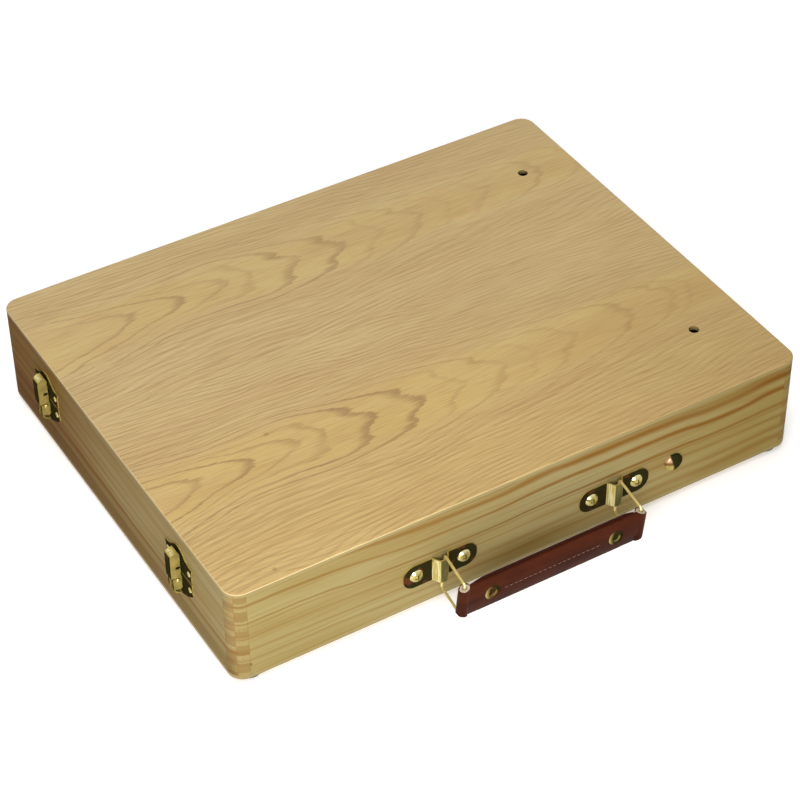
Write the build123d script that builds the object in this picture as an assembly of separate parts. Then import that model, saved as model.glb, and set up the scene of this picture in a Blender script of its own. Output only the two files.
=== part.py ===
from build123d import *
import math
import os

# Pochade box: a hinged wooden sketch box with a strap handle, two toggle latches and a lid stay.
# Frame: +X runs along the box to its hinge end, -Y is the handle side, +Z is up.
# The origin is the middle of the footprint, on the surface that the feet stand on.

# ---- box body ----
box_length = 400.0
box_width = 310.0
base_height = 40.0
lid_height = 30.0
wall = 10.0
panel = 3.0
corner_radius = 10.0
panel_edge_round = 1.0

# ---- box joints at the corners, cut before the lid was sawn off ----
first_finger = 3.0
finger_pitch = 7.25
saw_kerf = 1.5

# ---- feet ----
foot_radius = 8.5
foot_height = 3.2
foot_inset_x = 13.4
foot_inset_y = 10.4
foot_edge_round = 1.0

# ---- holes in the lid panel ----
lid_hole_radius = 3.4
lid_hole_from_end = 39.4
lid_hole_from_side = 56.8

# ---- inside of the base ----
trough_width = 30.0
divider = 5.0
divider_height = 30.0
divider_places = (-60.0, 70.0)
palette_thickness = 4.0
palette_play = 0.6
palette_corner = 8.0
thumb_hole_length = 34.0
thumb_hole_width = 24.0
thumb_hole_place = (128.0, -70.0)
lift_notch_depth = 6.0
lift_notch_width = 26.0

# ---- shared fits ----
screw_play = 0.04
running_play = 0.06

# ---- hinges ----
hinge_from_side = 60.0
leaf_length = 36.0
leaf_width = 15.0
leaf_thickness = 1.2
knuckle_radius = 2.4
knuckle_count = 3
knuckle_gap = 0.1
hinge_pin_radius = 1.2
hinge_pin_head = 1.7
hinge_stand_off = 0.15
leaf_notch = 2.7
hinge_screw_radius = 1.2
hinge_screw_head = 2.4
hinge_screw_length = 8.0
hinge_screw_spacing = 12.0
hinge_screw_row = 8.6

# ---- toggle latches ----
latch_from_side = 64.5
latch_plate = 0.8
latch_sheet = 0.7
plate_half_width = 15.8
plate_tip = 17.0
split_relief = 0.5
base_plate_drop = 19.0
base_tip_drop = 9.0
base_bulge = (8.4, -15.4)
catch_plate_rise = 18.4
catch_tip_rise = 11.8
catch_shoulder = (9.0, 13.6)
catch_neck = (12.6, 12.2)
latch_half_width = 3.4
ear_inner = 1.95
ear_outer = 2.65
ear_radius = 1.9
ear_bottom = -9.6
lever_pivot = (3.4, -5.4)
link_pivot = (2.6, -11.2)
pivot_rivet_radius = 0.75
pivot_rivet_head = 1.3
pivot_rivet_rise = 0.5
rivet_head_gap = 0.05
lever_front = 6.8
lever_back = 1.35
lever_flange_top = -4.2
cheek_end_radius = 1.6
nose_top = -10.4
nose_bottom = -16.2
nose_outer_bend = (5.3, -14.6)
nose_inner_bend = (4.7, -14.0)
strap_half_width = 1.6
strap_front = 3.1
strap_back = 1.7
strap_slot_drop = 1.8
link_eye_radius = 1.4
cap_front = 7.8
cap_bottom = -2.6
cap_top = 17.0
cap_round = 4.0
cap_window = (1.7, 4.7, 3.2, 5.7)
cap_window_round = 1.0
cap_back_slope = 1.2
lip_back = 1.5
lip_bottom = 9.35
hook_half_width = 2.4
hook_floor = 9.0
hook_reach = 4.9
hook_lip_rise = 0.2
nail_radius = 0.6
nail_head = 1.9
nail_head_rise = 1.0
nail_length = 7.0
nail_place = (13.0, 6.5)

# ---- handle ----
bracket_spacing = 124.6
bracket_length = 51.0
bracket_height = 17.5
bracket_sheet = 1.0
bracket_corner = 8.0
bracket_level = 25.9
hump_half_width = 6.4
hump_crown = 2.6
hump_rise = 6.0
bracket_screw_spacing = 33.0
bracket_screw_radius = 1.9
bracket_screw_length = 9.0
bracket_screw_head = 4.5
bracket_screw_dome = 2.6
cross_slot = 0.9
cross_slot_depth = 1.1
wire_radius = 0.9
bail_reach = 27.6
bail_bend = 1.7
bail_play = 4.9
bail_rest_gap = 0.8
swing_at_rest = 7.0
lean_at_rest = 6.0
grip_height = 22.0
grip_end_height = 17.6
grip_taper = 8.0
grip_edge = 2.2
grip_back = 0.6
grip_lining = 0.6
grip_loop_radius = 3.7
grip_bulge = 3.3
grip_skin = 0.7
grip_corner = 1.2
grip_sleeve_play = 0.45
eyelet_spacing = 87.4
eyelet_radius = 5.2
eyelet_bore = 3.3
eyelet_rise = 0.9
eyelet_seat = 0.45
eyelet_dish = 2.8
eyelet_dish_depth = 1.6

# ---- lid stay ----
stay_bolt_beside_bracket = 44.4
stay_bolt_below_split = 12.2
stay_lid_reach = 150.0
stay_lid_rise = 12.0
bar_width = 12.0
bar_thickness = 1.6
stay_washer = 0.8
stay_washer_radius = 6.0
stay_layer_gap = 0.1
stay_pin_radius = 2.0
stay_pin_head = 4.0
stay_pin_rise = 1.1
stay_screw_length = 7.0
bolt_radius = 3.0
bolt_head_radius = 6.2
bolt_head_edge = 1.4
bolt_head_rise = 4.0
bolt_tail = 3.0
nut_radius = 5.0
nut_height = 6.0
wing_span = 12.0
wing_rise = 5.0
wing_thickness = 2.0

# ---- levels and lines worked out from the sizes above ----
floor_z = foot_height
base_z = floor_z + panel
split_z = floor_z + base_height
top_z = split_z + lid_height
lid_rail_top = top_z - panel
front_y = -box_width / 2
left_x = -box_length / 2
right_x = box_length / 2
inner_front_y = front_y + wall
divider_y = inner_front_y + trough_width
divider_top = base_z + divider_height
hinge_out = knuckle_radius + hinge_stand_off
hinge_x = right_x + hinge_out
lid_hole_y = box_width / 2 - lid_hole_from_side
hinge_offset = box_width / 2 - hinge_from_side
latch_offset = box_width / 2 - latch_from_side
bolt_x = bracket_spacing / 2 + stay_bolt_beside_bracket
bolt_z = split_z - stay_bolt_below_split
bracket_z = floor_z + bracket_level
bail_axis = hump_rise - bracket_sheet - wire_radius - screw_play
bail_half_height = (bracket_height + bail_play) / 2 + wire_radius
handle_z = bracket_z - bail_play / 2 + bail_rest_gap

# ---- faces that hardware is fixed to: local x, local y = height, local z = outward ----
front_face = Plane(origin=(0, front_y, 0), x_dir=(1, 0, 0), z_dir=(0, -1, 0))
left_face = Plane(origin=(left_x, 0, 0), x_dir=(0, -1, 0), z_dir=(-1, 0, 0))
right_face = Plane(origin=(right_x, 0, 0), x_dir=(0, 1, 0), z_dir=(1, 0, 0))


def block(x0, x1, y0, y1, z0, z1):
    middle = Pos((x0 + x1) / 2, (y0 + y1) / 2, (z0 + z1) / 2)
    return middle * Box(x1 - x0, y1 - y0, z1 - z0)


def disc(radius, low, high):
    return Pos(0, 0, (low + high) / 2) * Cylinder(radius, high - low)


def on(face, shape):
    return face.location * shape


def rounded_prism(low, high):
    outline = Pos(0, 0, low) * RectangleRounded(box_length, box_width, corner_radius)
    return extrude(outline, high - low)


def domed_head(radius, rise, low=0.0):
    ball = (radius * radius + rise * rise) / (2 * rise)
    return Pos(0, 0, low + rise - ball) * Sphere(ball) & disc(radius, low, low + rise)


# ---- wooden box ----

def side_fingers(low, high, joint_low):
    """Height bands in which the end rails' fingers fill the corner."""
    bands = []
    band_low = joint_low
    while band_low < high:
        band_high = band_low + finger_pitch
        inside_low = max(band_low, low)
        inside_high = min(band_high, high)
        if inside_high - inside_low > saw_kerf:
            bands.append((inside_low, inside_high))
        band_low += 2 * finger_pitch
    return bands


def base_bands():
    return side_fingers(base_z, split_z, base_z + first_finger)


def lid_bands():
    return side_fingers(split_z, lid_rail_top, base_z + first_finger - saw_kerf)


def long_rail(side, low, high, bands):
    outer = side * box_width / 2
    inner = side * (box_width / 2 - wall)
    rail = block(left_x, right_x, min(outer, inner), max(outer, inner), low, high)
    for band_low, band_high in bands:
        for end in (-1, 1):
            near = end * (box_length / 2 - wall)
            far = end * box_length / 2
            rail -= block(
                min(near, far), max(near, far), min(outer, inner), max(outer, inner), band_low, band_high
            )
    return rail & rounded_prism(low, high)


def end_rail(side, low, high, bands):
    outer = side * box_length / 2
    inner = side * (box_length / 2 - wall)
    x0 = min(outer, inner)
    x1 = max(outer, inner)
    rail = block(x0, x1, front_y + wall, -front_y - wall, low, high)
    for band_low, band_high in bands:
        rail += block(x0, x1, front_y, -front_y, band_low, band_high)
    return rail & rounded_prism(low, high)


def lid_panel():
    plate = rounded_prism(lid_rail_top, top_z)
    plate = fillet(plate.faces().sort_by(Axis.Z)[-1].edges(), panel_edge_round)
    for y in (-lid_hole_y, lid_hole_y):
        plate -= Pos(right_x - lid_hole_from_end, y, 0) * disc(lid_hole_radius, lid_rail_top, top_z)
    return plate


def bottom_panel():
    plate = rounded_prism(floor_z, base_z)
    return fillet(plate.faces().sort_by(Axis.Z)[0].edges(), panel_edge_round)


def rubber_feet():
    feet = []
    for x in (left_x + foot_inset_x, right_x - foot_inset_x):
        for y in (front_y + foot_inset_y, -front_y - foot_inset_y):
            foot = disc(foot_radius, 0, foot_height)
            foot = fillet(foot.edges().sort_by(Axis.Z)[0], foot_edge_round)
            feet.append(Pos(x, y, 0) * foot)
    return feet


def trough_divider():
    board = block(left_x + wall, right_x - wall, divider_y, divider_y + divider, base_z, divider_top)
    cut = RectangleRounded(lift_notch_width, 2 * lift_notch_depth, palette_thickness)
    notch = extrude(cut, 2 * divider, both=True)
    for x in divider_places:
        middle = (left_x + x) / 2 if x < 0 else (right_x + x) / 2
        board -= Pos(middle, divider_y + divider, divider_top) * Rot(90, 0, 0) * notch
    return board


def cross_dividers():
    boards = []
    for x in divider_places:
        board = block(
            x - divider / 2, x + divider / 2, divider_y + divider, -front_y - wall, base_z, divider_top
        )
        boards.append(board)
    return boards


def palette():
    x0 = left_x + wall + palette_play
    x1 = right_x - wall - palette_play
    y0 = divider_y + palette_play
    y1 = -front_y - wall - palette_play
    outline = Pos((x0 + x1) / 2, (y0 + y1) / 2) * RectangleRounded(x1 - x0, y1 - y0, palette_corner)
    outline -= Pos(*thumb_hole_place) * Rot(0, 0, 35) * Ellipse(thumb_hole_length / 2, thumb_hole_width / 2)
    return extrude(Pos(0, 0, divider_top) * outline, palette_thickness)


# ---- hinges on the +X end ----

def knuckle_spans(for_lid):
    pitch = leaf_length / knuckle_count
    spans = []
    for index in range(knuckle_count):
        if (index % 2 == 1) == for_lid:
            low = -leaf_length / 2 + index * pitch
            spans.append((low + knuckle_gap / 2, low + pitch - knuckle_gap / 2))
    return spans


def hinge_screw_places(up):
    return [
        (-hinge_screw_spacing, up * hinge_screw_row),
        (0, up * (hinge_screw_row + 1.6)),
        (hinge_screw_spacing, up * hinge_screw_row),
    ]


def hinge_leaf(for_lid):
    """Leaf flat on the box end, drawn with the pin at local height 0."""
    up = 1 if for_lid else -1
    near = up * leaf_notch
    far = up * leaf_width
    leaf = block(-leaf_length / 2, leaf_length / 2, min(near, far), max(near, far), 0, leaf_thickness)
    for low, high in knuckle_spans(for_lid):
        leaf += block(low, high, min(0, near), max(0, near), 0, leaf_thickness)
        barrel = Cylinder(knuckle_radius, high - low)
        leaf += Pos((low + high) / 2, 0, hinge_out) * Rot(0, 90, 0) * barrel
    leaf -= Pos(0, 0, hinge_out) * Rot(0, 90, 0) * Cylinder(hinge_pin_radius + running_play, 2 * leaf_length)
    for x, y in hinge_screw_places(up):
        leaf -= Pos(x, y, leaf_thickness) * countersunk(screw_play)
    return leaf


def countersunk(play):
    """Countersunk wood screw with its flat face at height 0, pointing down."""
    depth = leaf_thickness
    head = Pos(0, 0, -depth / 2) * Cone(hinge_screw_radius + play, hinge_screw_head + play, depth)
    return head + disc(hinge_screw_radius + play, -hinge_screw_length - depth, -depth)


def hinge_pin():
    pin = Rot(0, 90, 0) * Cylinder(hinge_pin_radius, leaf_length)
    for end in (-1, 1):
        cap = Pos(end * leaf_length / 2, 0, 0) * Rot(0, 90 * end, 0)
        pin += cap * domed_head(hinge_pin_head, hinge_pin_head / 2)
    return Pos(0, 0, hinge_out) * pin


def hinge_place(offset):
    return right_face.location * Pos(offset, split_z, 0)


def hinge_screws(for_lid):
    up = 1 if for_lid else -1
    screws = []
    for offset in (-hinge_offset, hinge_offset):
        for x, y in hinge_screw_places(up):
            screws.append(hinge_place(offset) * Pos(x, y, leaf_thickness) * countersunk(0))
    return screws


def hinge_screw_holes(for_lid):
    up = 1 if for_lid else -1
    holes = None
    for offset in (-hinge_offset, hinge_offset):
        for x, y in hinge_screw_places(up):
            hole = hinge_place(offset) * Pos(x, y, leaf_thickness) * countersunk(screw_play)
            holes = hole if holes is None else holes + hole
    return holes


# ---- toggle latches on the -X end: local x across, local y = height above the split, local z outward ----

def side_profile(outline, low, high):
    """Extrude an outline drawn as (outward, height) from local x = low to high."""
    plane = Plane(origin=(high, 0, 0), x_dir=(0, 0, 1), z_dir=(-1, 0, 0))
    return extrude(plane * outline, high - low, dir=(-1, 0, 0))


def both_sides(outline, low, high):
    return side_profile(outline, low, high) + side_profile(outline, -high, -low)


def cross_pin(place, radius, low, high):
    return Pos((low + high) / 2, place[1], place[0]) * Rot(0, 90, 0) * Cylinder(radius, high - low)


def base_plate_outline():
    tip_height = -base_tip_drop
    side_height = tip_height + 2.0
    with BuildSketch() as sketch:
        with BuildLine():
            Line((0, -split_relief), (plate_half_width, -split_relief))
            Line((plate_half_width, -split_relief), (plate_half_width, side_height))
            Line((plate_half_width, side_height), (plate_tip, tip_height))
            ThreePointArc((plate_tip, tip_height), base_bulge, (0, -base_plate_drop))
            Line((0, -base_plate_drop), (0, -split_relief))
        make_face()
        mirror(about=Plane.YZ)
    return sketch.sketch


def catch_plate_outline():
    side_height = catch_tip_rise - 2.4
    with BuildSketch() as sketch:
        with BuildLine():
            Line((0, split_relief), (plate_half_width, split_relief))
            Line((plate_half_width, split_relief), (plate_half_width, side_height))
            Line((plate_half_width, side_height), (plate_tip, catch_tip_rise))
            Spline((plate_tip, catch_tip_rise), catch_neck, catch_shoulder)
            Spline(
                catch_shoulder,
                (0, catch_plate_rise),
                tangents=((-1, 0.62), (-1, 0)),
            )
            Line((0, catch_plate_rise), (0, split_relief))
        make_face()
        mirror(about=Plane.YZ)
    return sketch.sketch


def nail_places(up):
    return [(-nail_place[0], up * nail_place[1]), (nail_place[0], up * nail_place[1])]


def nail(play):
    head = domed_head(nail_head, nail_head_rise, latch_plate)
    return head + disc(nail_radius + play, -nail_length, latch_plate)


def nail_holes(plate, up):
    for x, y in nail_places(up):
        plate -= Pos(x, y, 0) * disc(nail_radius + screw_play, -nail_length, latch_plate)
    return plate


def latch_base_plate():
    plate = nail_holes(extrude(base_plate_outline(), latch_plate), -1)
    outline = Polygon(
        (latch_plate / 2, ear_bottom),
        (lever_pivot[0] + 1.2, ear_bottom),
        (lever_pivot[0] + ear_radius, lever_pivot[1]),
        (lever_pivot[0], lever_pivot[1] + ear_radius),
        (latch_plate / 2, lever_pivot[1] + ear_radius),
        align=None,
    )
    outline += Pos(*lever_pivot) * Circle(ear_radius)
    outline -= Pos(*lever_pivot) * Circle(pivot_rivet_radius + screw_play)
    return plate + both_sides(outline, ear_inner, ear_outer)


def latch_catch():
    plate = nail_holes(extrude(catch_plate_outline(), latch_plate), 1)
    outline = Polygon(
        (latch_plate / 2, hook_floor - latch_plate),
        (hook_reach, hook_floor - latch_plate),
        (hook_reach, hook_floor + hook_lip_rise),
        (hook_reach - latch_plate, hook_floor),
        (latch_plate / 2, hook_floor),
        align=None,
    )
    return plate + side_profile(outline, -hook_half_width, hook_half_width)


def latch_pivot_rivets():
    rivets = []
    head_seat = latch_half_width + rivet_head_gap
    for side in (-1, 1):
        shank = (side * ear_inner, side * head_seat)
        rivet = cross_pin(lever_pivot, pivot_rivet_radius, min(shank), max(shank))
        head = domed_head(pivot_rivet_head, pivot_rivet_rise)
        place = Pos(side * head_seat, lever_pivot[1], lever_pivot[0])
        rivets.append(rivet + place * Rot(0, 90 * side, 0) * head)
    return rivets


def lever_nose():
    """Curled finger tab: a sheet that comes down the front and turns in under the pivots."""
    flange_back = lever_front - latch_sheet
    nose_knee = nose_top - 1.2
    hollow_floor = nose_bottom + latch_sheet
    with BuildSketch() as nose:
        with BuildLine():
            Line((lever_back, nose_top), (lever_front, nose_top))
            Line((lever_front, nose_top), (lever_front, nose_knee))
            ThreePointArc((lever_front, nose_knee), nose_outer_bend, (lever_back + 0.8, nose_bottom))
            Line((lever_back + 0.8, nose_bottom), (lever_back, nose_bottom + 0.8))
            Line((lever_back, nose_bottom + 0.8), (lever_back, nose_top))
        make_face()
    with BuildSketch() as hollow:
        with BuildLine():
            Line((0, nose_top + 1), (flange_back, nose_top + 1))
            Line((flange_back, nose_top + 1), (flange_back, nose_knee))
            ThreePointArc((flange_back, nose_knee), nose_inner_bend, (lever_back + 0.6, hollow_floor))
            Line((lever_back + 0.6, hollow_floor), (0, hollow_floor))
            Line((0, hollow_floor), (0, nose_top + 1))
        make_face()
    return side_profile(nose.sketch - hollow.sketch, -latch_half_width, latch_half_width)


def latch_lever():
    cheek_inner = latch_half_width - latch_sheet
    cheek = Polygon(
        (lever_back, link_pivot[1]),
        (lever_back, lever_pivot[1] - 2.0),
        (lever_pivot[0] - 1.2, lever_pivot[1] + 0.8),
        (lever_pivot[0], lever_pivot[1] + 1.5),
        (lever_front, lever_flange_top),
        (lever_front, nose_top - 1.0),
        (link_pivot[0], link_pivot[1] - cheek_end_radius),
        align=None,
    )
    cheek += Pos(*link_pivot) * Circle(cheek_end_radius)
    lever = both_sides(cheek, cheek_inner, latch_half_width)
    flange_back = lever_front - latch_sheet
    flange = Polygon(
        (flange_back, nose_top),
        (lever_front, nose_top),
        (lever_front, lever_flange_top),
        (flange_back, lever_flange_top),
        align=None,
    )
    lever += both_sides(flange, ear_inner, latch_half_width)
    lever += lever_nose()
    slot = Polygon(
        (flange_back - 1, link_pivot[1] - strap_slot_drop),
        (lever_front + 1, link_pivot[1] - strap_slot_drop),
        (lever_front + 1, nose_top + 1),
        (flange_back - 1, nose_top + 1),
        align=None,
    )
    lever -= side_profile(slot, -ear_inner, ear_inner)
    lever -= cross_pin(lever_pivot, pivot_rivet_radius + running_play, -latch_half_width, latch_half_width)
    lever -= cross_pin(link_pivot, pivot_rivet_radius + screw_play, -latch_half_width, latch_half_width)
    return lever


def latch_link_pin():
    return cross_pin(link_pivot, pivot_rivet_radius, -latch_half_width, latch_half_width)


def cap_outline(inset, bottom):
    """Outside of the link's cap, or its hollow when inset by the sheet."""
    front = cap_front - inset
    top = cap_top - inset
    bend = cap_round - inset
    bend_rise = bend * (1 - math.sqrt(0.5))
    back = lip_back + inset
    slope = cap_back_slope
    with BuildSketch() as sketch:
        with BuildLine():
            Line((back, bottom), (front, bottom))
            Line((front, bottom), (front, top - bend))
            ThreePointArc((front, top - bend), (front - bend_rise, top - bend_rise), (front - bend, top))
            Line((front - bend, top), (back + slope, top))
            Line((back + slope, top), (back, top - 2 * slope))
            Line((back, top - 2 * slope), (back, bottom))
        make_face()
    return sketch.sketch


def latch_link():
    cap = side_profile(cap_outline(0, cap_bottom), -latch_half_width, latch_half_width)
    hollow_half = latch_half_width - latch_sheet
    hollow = cap_outline(latch_sheet, cap_bottom + latch_sheet)
    below_lip = Polygon(
        (-1, cap_bottom + latch_sheet),
        (lip_back + 2 * latch_sheet, cap_bottom + latch_sheet),
        (lip_back + 2 * latch_sheet, lip_bottom),
        (-1, lip_bottom),
        align=None,
    )
    cap -= side_profile(hollow, -hollow_half, hollow_half)
    cap -= side_profile(below_lip, -hollow_half, hollow_half)
    inner, outer, low, high = cap_window
    window = RectangleRounded(outer - inner, high - low, cap_window_round)
    window = Pos((inner + outer) / 2, (low + high) / 2) * window
    cap -= side_profile(window, -latch_half_width, latch_half_width)
    strap = Polygon(
        (strap_back, link_pivot[1]),
        (strap_front, link_pivot[1]),
        (strap_front, cap_bottom + latch_sheet),
        (strap_back, cap_bottom + latch_sheet),
        align=None,
    )
    link = cap + side_profile(strap, -strap_half_width, strap_half_width)
    link += cross_pin(link_pivot, link_eye_radius, -strap_half_width, strap_half_width)
    bore = pivot_rivet_radius + running_play
    return link - cross_pin(link_pivot, bore, -strap_half_width, strap_half_width)


def latch_place(offset):
    return left_face.location * Pos(offset, split_z, 0)


def latch_nails(up):
    nails = []
    for offset in (-latch_offset, latch_offset):
        for x, y in nail_places(up):
            nails.append(latch_place(offset) * Pos(x, y, 0) * nail(0))
    return nails


def latch_nail_holes(up):
    holes = None
    for offset in (-latch_offset, latch_offset):
        for x, y in nail_places(up):
            shank = disc(nail_radius + screw_play, -nail_length, latch_plate)
            hole = latch_place(offset) * Pos(x, y, 0) * shank
            holes = hole if holes is None else holes + hole
    return holes


# ---- handle on the -Y side: local x along the box, local y = height, local z outward ----

def bracket_place(side):
    return front_face.location * Pos(side * bracket_spacing / 2, bracket_z, 0)


def hump_outline(inset):
    foot = hump_half_width - inset * 1.15
    crown = hump_crown - inset * 0.3
    outline = Polygon(
        (-foot, 0),
        (foot, 0),
        (crown, hump_rise - inset),
        (-crown, hump_rise - inset),
        align=None,
    )
    crowns = [vertex for vertex in outline.vertices() if vertex.Y > hump_rise / 2]
    return fillet(crowns, 1.5 - inset / 2)


def bracket():
    plate = extrude(RectangleRounded(bracket_length, bracket_height, bracket_corner), bracket_sheet)
    plane = Plane(origin=(0, bracket_height / 2, 0), x_dir=(1, 0, 0), z_dir=(0, -1, 0))
    hump = extrude(plane * hump_outline(0), bracket_height, dir=(0, -1, 0))
    channel = extrude(plane * hump_outline(bracket_sheet), bracket_height, dir=(0, -1, 0))
    plate = plate + hump - channel
    for x in (-bracket_screw_spacing / 2, bracket_screw_spacing / 2):
        plate -= Pos(x, 0, 0) * disc(bracket_screw_radius + screw_play, 0, bracket_sheet)
    return plate


def dome_screw():
    head = domed_head(bracket_screw_head, bracket_screw_dome, bracket_sheet)
    slot_low = bracket_sheet + bracket_screw_dome - cross_slot_depth
    slot_high = bracket_sheet + bracket_screw_dome
    for width, length in ((cross_slot, bracket_screw_head), (bracket_screw_head, cross_slot)):
        head -= block(-width / 2, width / 2, -length / 2, length / 2, slot_low, slot_high)
    return head + disc(bracket_screw_radius, -bracket_screw_length, bracket_sheet)


def bracket_screws():
    screws = []
    for side in (-1, 1):
        for x in (-bracket_screw_spacing / 2, bracket_screw_spacing / 2):
            screws.append(bracket_place(side) * Pos(x, 0, 0) * dome_screw())
    return screws


def bracket_screw_holes():
    holes = None
    for side in (-1, 1):
        for x in (-bracket_screw_spacing / 2, bracket_screw_spacing / 2):
            shank = disc(bracket_screw_radius + screw_play, -bracket_screw_length, 0)
            hole = bracket_place(side) * Pos(x, 0, 0) * shank
            holes = hole if holes is None else holes + hole
    return holes


def bail(side):
    """Wire frame that turns in the bracket's hump and carries one end of the grip."""
    half = bail_half_height
    corners = ((0, -half), (0, half), (bail_reach, half), (bail_reach, -half))
    path = FilletPolyline(*corners, radius=bail_bend, close=True)
    plane = Plane(origin=(0, 0, 0), x_dir=(0, 0, 1), z_dir=(-1, 0, 0))
    path = plane * path
    start = path @ 0
    section = Plane(origin=start, z_dir=path % 0) * Circle(wire_radius)
    return bail_place(side) * sweep(section, path=path)


def bail_place(side):
    """The bail's axis in its hump, leaning and swung as the handle rests."""
    axis = Pos(0, handle_z - bracket_z, bail_axis)
    return bracket_place(side) * axis * Rot(0, 0, -lean_at_rest) * Rot(0, -swing_at_rest, 0)


def eye_centre(side):
    return (bail_place(side) * Pos(0, 0, bail_reach)).position


def grip_place():
    left = eye_centre(-1)
    right = eye_centre(1)
    return Pos((left.X + right.X) / 2, left.Y, left.Z)


def grip_front_view():
    """Front view that tapers the strap to each eye, thick enough to cut any plan of it."""
    end = bracket_spacing / 2 + grip_loop_radius
    low = grip_end_height / 2
    inner = end - 2 * grip_taper
    high = grip_height - low
    lean = math.tan(math.radians(lean_at_rest))
    corners = (
        (-end, -low),
        (-inner, -high),
        (inner, -high),
        (end, -low),
        (end, low),
        (inner, high),
        (-inner, high),
        (-end, low),
    )
    outline = Polygon(*[(x + z * lean, z) for x, z in corners], align=None)
    outline = fillet(outline.vertices(), grip_corner)
    return extrude(Plane.XZ * outline, grip_loop_radius * 2, both=True)


def at_eyes(radius):
    """Leaning round bars about the axes that the bails turn on in the grip."""
    bar = Rot(0, lean_at_rest, 0) * Cylinder(radius, 2 * grip_height)
    half = bracket_spacing / 2
    return Pos(-half, 0, 0) * bar + Pos(half, 0, 0) * bar


def grip_body():
    """The whole strap: flat at the back, padded in front, with a loop at each end."""
    half = grip_height / 2
    edge = grip_back - grip_edge
    with BuildSketch() as section:
        with BuildLine():
            ThreePointArc((edge, half), (-grip_bulge, 0), (edge, -half))
            Line((edge, -half), (grip_back, -half))
            Line((grip_back, -half), (grip_back, half))
            Line((grip_back, half), (edge, half))
        make_face()
    strap = extrude(Plane.YZ * section.sketch, bracket_spacing / 2, both=True)
    return (strap + at_eyes(grip_loop_radius)) & grip_front_view()


def lining_space(play):
    """Layer behind the strap and round each eye."""
    half = bracket_spacing / 2
    front = grip_back - grip_lining + play
    back_layer = block(-half, half, front, grip_back, -grip_height, grip_height)
    return back_layer + at_eyes(grip_loop_radius - grip_skin - play)


def eyelet_cuts():
    """Barrel holes, and the seats that the front flanges press into the padding."""
    cuts = None
    for x in (-eyelet_spacing / 2, eyelet_spacing / 2):
        hole = Pos(x, 0, 0) * Rot(90, 0, 0) * Cylinder(eyelet_bore + screw_play, 4 * grip_loop_radius)
        seat = disc(eyelet_radius + screw_play, grip_bulge - eyelet_seat, 2 * grip_bulge)
        seat = Pos(x, 0, 0) * Rot(90, 0, 0) * seat
        cuts = hole + seat if cuts is None else cuts + hole + seat
    return cuts


def grip_cover():
    """Padded outer strap, folded back round both eyes."""
    cover = grip_body() - lining_space(0) - eyelet_cuts()
    cover -= at_eyes(wire_radius + grip_sleeve_play)
    return grip_place() * cover


def grip_core():
    """Lining at the back of the strap and in each eye, where the bails turn."""
    lining = lining_space(screw_play) & grip_front_view()
    lining -= at_eyes(wire_radius + grip_sleeve_play)
    return grip_place() * (lining - eyelet_cuts())


def grip_eyelets():
    eyelets = []
    front = grip_bulge - eyelet_seat
    for x in (-eyelet_spacing / 2, eyelet_spacing / 2):
        eyelet = disc(eyelet_bore, -grip_back, front)
        eyelet += Pos(0, 0, front) * domed_head(eyelet_radius, eyelet_rise)
        eyelet += Pos(0, 0, -grip_back) * Rot(180, 0, 0) * domed_head(eyelet_radius, eyelet_rise)
        face = front + eyelet_rise
        eyelet -= disc(eyelet_dish, face - eyelet_dish_depth, face)
        eyelets.append(grip_place() * Pos(x, 0, 0) * Rot(90, 0, 0) * eyelet)
    return eyelets


# ---- lid stay in the front trough ----

def stay_points():
    """Base pivot, elbow and lid pivot as (x, z): they and the hinge make a parallelogram."""
    base = (bolt_x, bolt_z)
    lid = (hinge_x - stay_lid_reach, split_z + stay_lid_rise)
    elbow = (base[0] + lid[0] - hinge_x, base[1] + lid[1] - split_z)
    return base, elbow, lid


def layer(depth):
    """Place a part drawn flat at a depth behind the front wall's inner face."""
    return Plane(origin=(0, inner_front_y + depth, 0), x_dir=(1, 0, 0), z_dir=(0, -1, 0))


def bar(start, end, depth, start_hole, end_hole):
    length = math.dist(start, end)
    angle = math.degrees(math.atan2(end[1] - start[1], end[0] - start[0]))
    outline = SlotCenterToCenter(length, bar_width)
    outline = Pos((start[0] + end[0]) / 2, (start[1] + end[1]) / 2) * Rot(0, 0, angle) * outline
    outline -= Pos(*start) * Circle(start_hole)
    outline -= Pos(*end) * Circle(end_hole)
    return on(layer(depth + bar_thickness), extrude(outline, bar_thickness))


lower_bar_depth = stay_washer
upper_bar_depth = lower_bar_depth + bar_thickness + stay_layer_gap
bar_stack = upper_bar_depth + bar_thickness


def pin_between(place, radius, near, far):
    return on(layer(far), Pos(place[0], place[1], (far - near) / 2) * Cylinder(radius, far - near))


def stay_lower_bar():
    base, elbow, lid = stay_points()
    return bar(base, elbow, lower_bar_depth, bolt_radius + running_play, stay_pin_radius + screw_play)


def stay_upper_bar():
    base, elbow, lid = stay_points()
    hole = stay_pin_radius + running_play
    return bar(lid, elbow, upper_bar_depth, hole, hole)


def stay_elbow_rivet():
    base, elbow, lid = stay_points()
    near = lower_bar_depth - stay_washer / 2
    rivet = pin_between(elbow, stay_pin_radius, near, bar_stack + stay_layer_gap)
    rivet += pin_between(elbow, stay_pin_head, near, lower_bar_depth)
    far = bar_stack + stay_layer_gap
    return rivet + pin_between(elbow, stay_pin_head, far, far + stay_pin_rise)


def stay_lid_spacer():
    base, elbow, lid = stay_points()
    spacer = pin_between(lid, stay_pin_head, 0, upper_bar_depth - stay_layer_gap)
    return spacer - pin_between(lid, stay_pin_radius + screw_play, 0, upper_bar_depth)


def stay_lid_screw():
    base, elbow, lid = stay_points()
    far = bar_stack + stay_layer_gap
    screw = pin_between(lid, stay_pin_radius, -stay_screw_length, far)
    return screw + pin_between(lid, stay_pin_head, far, far + stay_pin_rise)


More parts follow.
